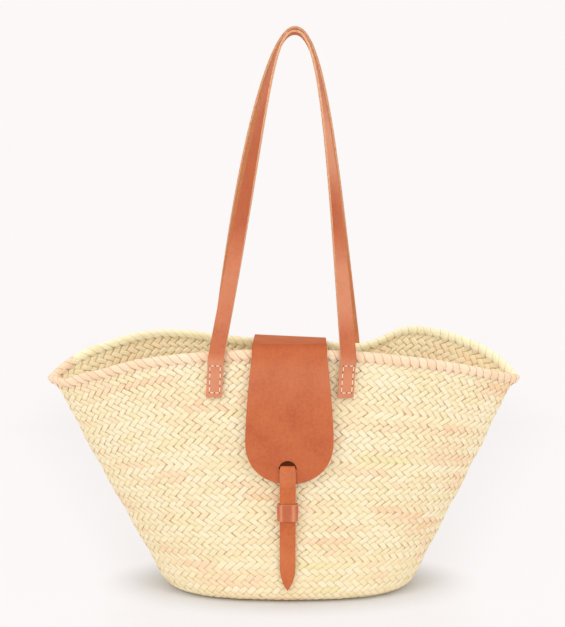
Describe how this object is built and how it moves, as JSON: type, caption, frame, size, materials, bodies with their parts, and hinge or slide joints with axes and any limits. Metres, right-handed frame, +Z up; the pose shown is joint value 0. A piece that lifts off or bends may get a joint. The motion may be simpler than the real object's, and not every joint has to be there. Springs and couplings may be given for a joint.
{
  "type": "palm-leaf basket bag",
  "caption": "Boat-shaped basket bag of plaited palm leaf with long leather shoulder handles, a leather flap over the mouth and a strap that closes it.",
  "frame": {"origin": "centre of the floor, on its underside, where the basket stands", "axes": "+Z up, +X to the right along the mouth seen from the front, front with the flap and closing strap towards -Y"},
  "size_m": [0.5679, 0.2016, 0.6675],
  "materials": {
    "palm_leaf": "dry plaited palm leaf, satin",
    "rim_leaf": "wrapped palm leaf, satin",
    "tan_leather": "vegetable-tanned leather, semi-matt",
    "backing_leather": "paler leather with raw cut edges, matt"
  },
  "bodies": {
    "basket": {"floor_plait_centre": "palm_leaf", "floor_plait_turn": "palm_leaf", "wall_plait_turn_1": "palm_leaf", "wall_plait_turn_2": "palm_leaf", "wall_plait_turn_3": "palm_leaf", "wall_plait_turn_4": "palm_leaf", "wall_plait_turn_5": "palm_leaf", "rim_roll": "rim_leaf", "front_handle_end_left": "tan_leather", "front_handle_end_right": "tan_leather", "back_handle_end_left": "tan_leather", "back_handle_end_right": "tan_leather", "front_handle_tab_left": "backing_leather", "front_handle_tab_right": "backing_leather", "back_handle_tab_left": "backing_leather", "back_handle_tab_right": "backing_leather", "flap_tail": "tan_leather", "closing_strap_root": "tan_leather", "strap_keeper": "tan_leather"},
    "front_handle": {"front_handle": "tan_leather"},
    "back_handle": {"back_handle": "tan_leather"},
    "flap": {"flap": "tan_leather"},
    "closing_strap": {"closing_strap_end": "tan_leather"}
  },
  "joints": [
    {"name": "front_handle_swing", "type": "hinge", "parent": "basket", "child": "front_handle", "pos_m": [-0.0078, -0.09606, 0.28572], "axis": [1, 0, 0], "range_deg": [0, 140]},
    {"name": "back_handle_swing", "type": "hinge", "parent": "basket", "child": "back_handle", "pos_m": [-0.0055, 0.0962, 0.28386], "axis": [-1, 0, 0], "range_deg": [0, 140]},
    {"name": "flap_open", "type": "hinge", "parent": "basket", "child": "flap", "pos_m": [0.0026, 0.09775, 0.28264], "axis": [-1, 0, 0], "range_deg": [0, 100]},
    {"name": "closing_strap_unfold", "type": "hinge", "parent": "basket", "child": "closing_strap", "pos_m": [-0.0017, -0.09848, 0.15985], "axis": [-1, 0, 0], "range_deg": [0, 120], "deforming": ["closing_strap_end"]}
  ]
}
